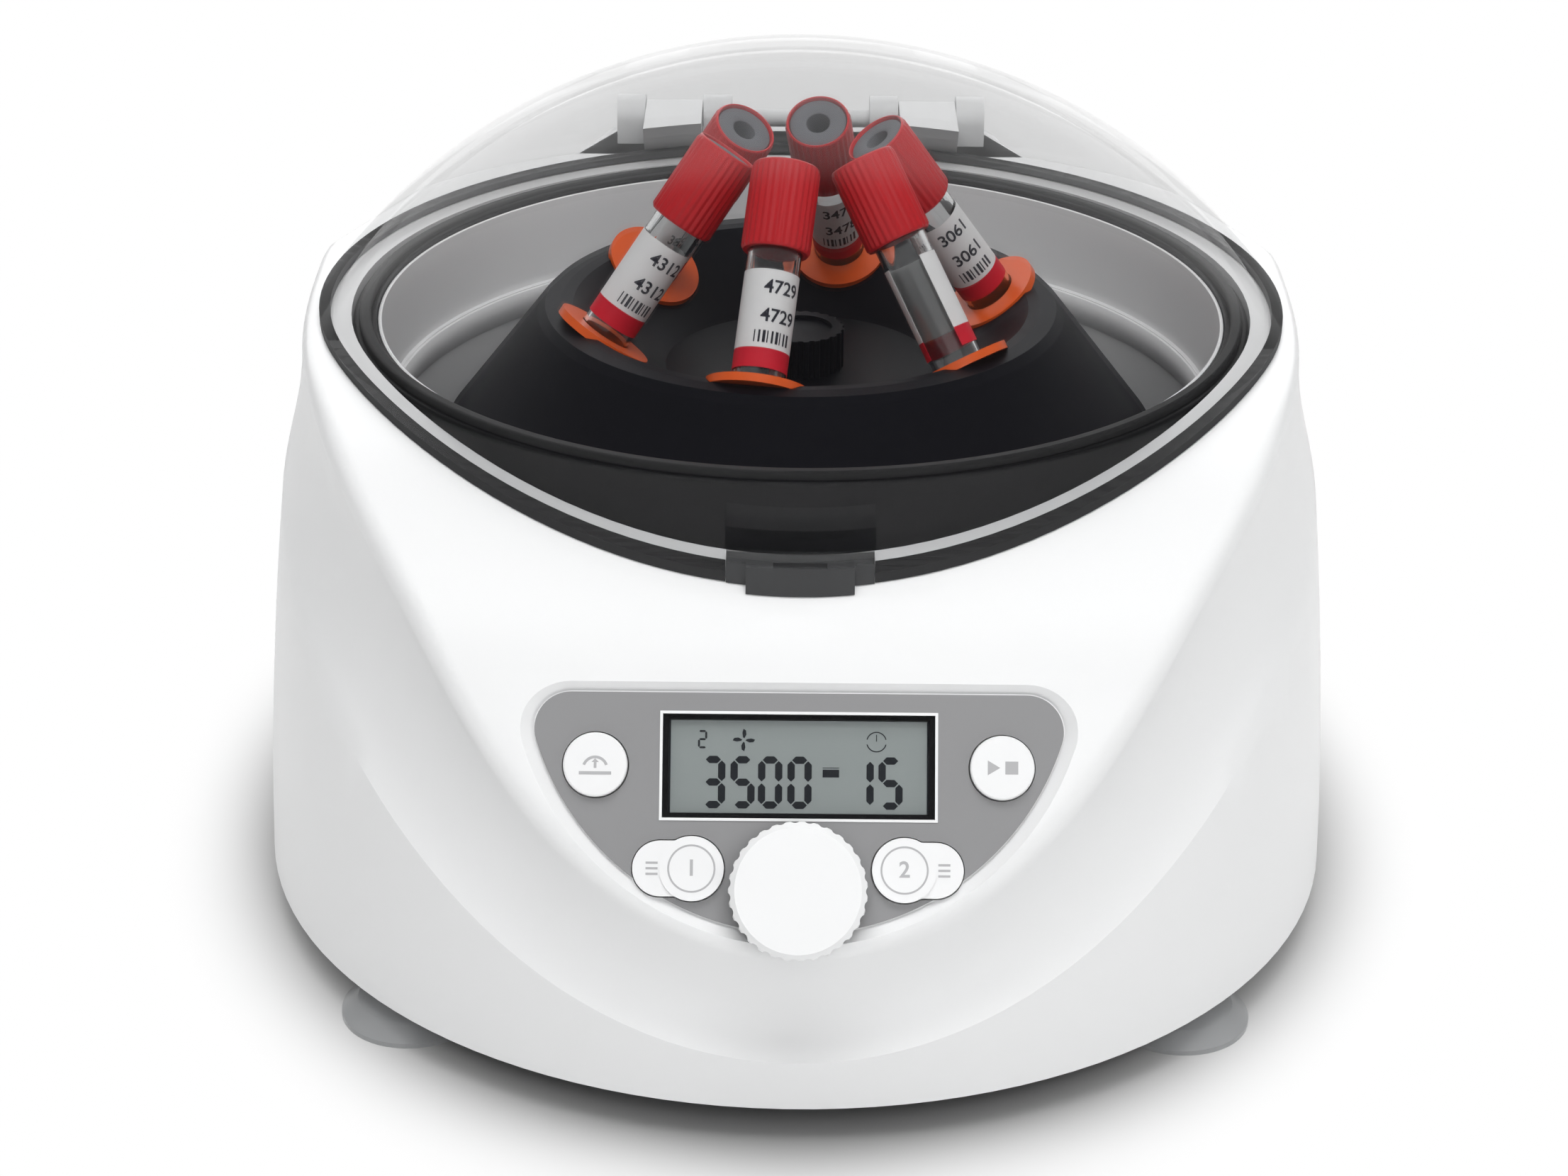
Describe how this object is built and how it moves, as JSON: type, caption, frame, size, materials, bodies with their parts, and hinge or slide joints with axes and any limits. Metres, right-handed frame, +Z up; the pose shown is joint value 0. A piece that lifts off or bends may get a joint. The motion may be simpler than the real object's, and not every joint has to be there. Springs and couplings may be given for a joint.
{
  "type": "benchtop centrifuge",
  "caption": "Compact benchtop centrifuge with a clear domed lid, a slanted-tube rotor, a hollow-swept white shell and a sloped front panel with display and knob.",
  "frame": {"origin": "middle of the whole object's box, on the bench under the feet", "axes": "+Z up, -Y to the front where the panel is, +X to the right seen from the front"},
  "size_m": [0.268, 0.3311, 0.2019],
  "materials": {
    "white_shell": "smooth satin",
    "dark_base": "fine texture",
    "steel": "brushed",
    "bowl_steel": "deep drawn",
    "black_rubber": "matt",
    "black_plastic": "fine matt",
    "motor_case": "satin",
    "panel_grey": "printed sheet",
    "display_glass": "clear",
    "display": "liquid crystal",
    "clear_lid": "clear, slightly grey",
    "rotor_plastic": "fine matt, blue-black",
    "sleeve_orange": "smooth",
    "tube_glass": "clear",
    "cap_red": "smooth",
    "stopper_grey": "matt",
    "label_paper": "paper",
    "circuit_board": "solder mask",
    "board_part": "moulded",
    "nylon": "natural"
  },
  "bodies": {
    "chassis": {"upper_housing": "white_shell", "base_plate": "dark_base", "base_screws": "steel", "suction_feet": "black_rubber", "rotor_chamber": "bowl_steel", "chamber_collar": "black_plastic", "chamber_gasket": "black_rubber", "shaft_seal": "black_rubber", "motor": "motor_case", "motor_plate": "steel", "motor_dampers": "black_rubber", "latch_bracket": "steel", "latch_motor": "motor_case", "panel_overlay": "panel_grey", "lcd_bezel": "white_shell", "lcd_window": "display_glass", "lcd_shroud": "black_plastic", "lcd_module": "display", "encoder_body": "black_plastic", "keypad_board": "circuit_board", "board_screws": "steel", "tact_switches": "black_plastic", "board_standoffs": "nylon", "main_board": "circuit_board", "board_parts": "board_part", "mains_inlet": "dark_base", "inlet_pins": "steel", "switch_body": "dark_base", "hinge_pin": "steel"},
    "rotor": {"motor_shaft": "steel", "rotor": "rotor_plastic", "rotor_nut": "rotor_plastic", "tube_sleeves": "sleeve_orange", "sample_tubes": "tube_glass", "tube_labels": "label_paper", "tube_caps": "cap_red", "tube_stoppers": "stopper_grey"},
    "lid": {"lid_dome": "clear_lid", "lid_seal": "black_rubber", "lid_striker": "clear_lid", "hinge_arms": "black_plastic"},
    "latch": {"latch_hook": "black_plastic"},
    "lid_button": {"lid_button": "white_shell"},
    "start_button": {"start_button": "white_shell"},
    "preset_key_1": {"preset_key_1": "white_shell"},
    "preset_key_2": {"preset_key_2": "white_shell"},
    "encoder_plunger": {"encoder_plunger": "steel"},
    "knob": {"encoder_shaft": "steel", "knob": "white_shell"},
    "rocker": {"rocker": "black_plastic"}
  },
  "joints": [
    {"name": "lid_hinge", "type": "hinge", "parent": "chassis", "child": "lid", "pos_m": [0, 0.14566, 0.146], "axis": [-1, 0, 0], "range_deg": [0, 80]},
    {"name": "rotor_spin", "type": "hinge", "parent": "chassis", "child": "rotor", "pos_m": [0, 0.01466, 0.1365], "axis": [0, 0, 1], "continuous": true},
    {"name": "latch_turn", "type": "hinge", "parent": "chassis", "child": "latch", "pos_m": [0, -0.10054, 0.0895], "axis": [-1, 0, 0], "range_deg": [0, 34]},
    {"name": "lid_button_press", "type": "slide", "parent": "chassis", "child": "lid_button", "axis": [0, 0.848, -0.5299], "range_m": [0, 0.001], "stiffness_N_per_m": 1500, "springref_m": -0.0007},
    {"name": "start_button_press", "type": "slide", "parent": "chassis", "child": "start_button", "axis": [0, 0.848, -0.5299], "range_m": [0, 0.001], "stiffness_N_per_m": 1500, "springref_m": -0.0007},
    {"name": "preset_key_1_press", "type": "slide", "parent": "chassis", "child": "preset_key_1", "axis": [0, 0.848, -0.5299], "range_m": [0, 0.001], "stiffness_N_per_m": 1500, "springref_m": -0.0007},
    {"name": "preset_key_2_press", "type": "slide", "parent": "chassis", "child": "preset_key_2", "axis": [0, 0.848, -0.5299], "range_m": [0, 0.001], "stiffness_N_per_m": 1500, "springref_m": -0.0007},
    {"name": "knob_push", "type": "slide", "parent": "chassis", "child": "encoder_plunger", "axis": [0, 0.848, -0.5299], "range_m": [0, 0.0007], "stiffness_N_per_m": 2000, "springref_m": -0.0007},
    {"name": "knob_turn", "type": "hinge", "parent": "encoder_plunger", "child": "knob", "pos_m": [0, -0.14624, 0.06408], "axis": [0, -0.848, 0.5299], "continuous": true},
    {"name": "power_rocker", "type": "hinge", "parent": "chassis", "child": "rocker", "pos_m": [-0.038, 0.16116, 0.0405], "axis": [-1, 0, 0], "range_deg": [0, 20]}
  ]
}
